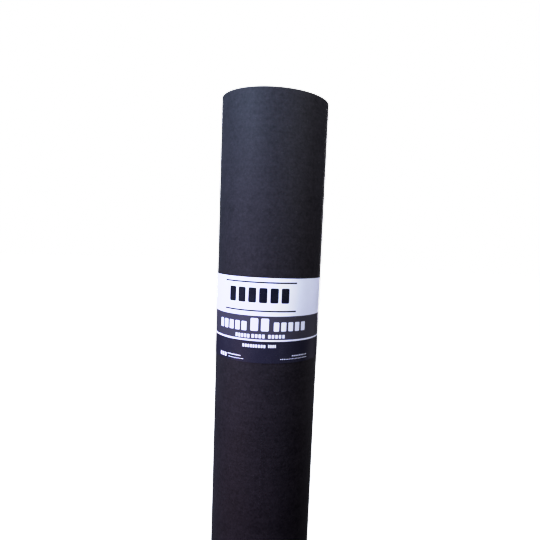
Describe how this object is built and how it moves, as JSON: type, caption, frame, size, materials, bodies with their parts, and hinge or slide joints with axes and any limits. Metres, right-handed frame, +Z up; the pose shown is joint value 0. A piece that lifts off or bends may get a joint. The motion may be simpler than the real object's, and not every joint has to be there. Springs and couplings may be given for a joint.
{
  "type": "roll of roofing felt",
  "caption": "Wound roll of black asphalt-saturated roofing felt, standing on its end and held shut by a printed paper label band.",
  "frame": {"origin": "centre of the roll's lower end, on the level it stands on", "axes": "+Z up the roll's axis to its upper end, -Y out through the middle of the label's printed front, +Y out through the label's lap at the back"},
  "size_m": [0.1874, 0.1876, 0.9144],
  "materials": {
    "saturated_felt": "matte",
    "label_paper": "satin"
  },
  "bodies": {
    "root": {"felt_roll": "saturated_felt", "label_band": "label_paper"}
  },
  "joints": []
}
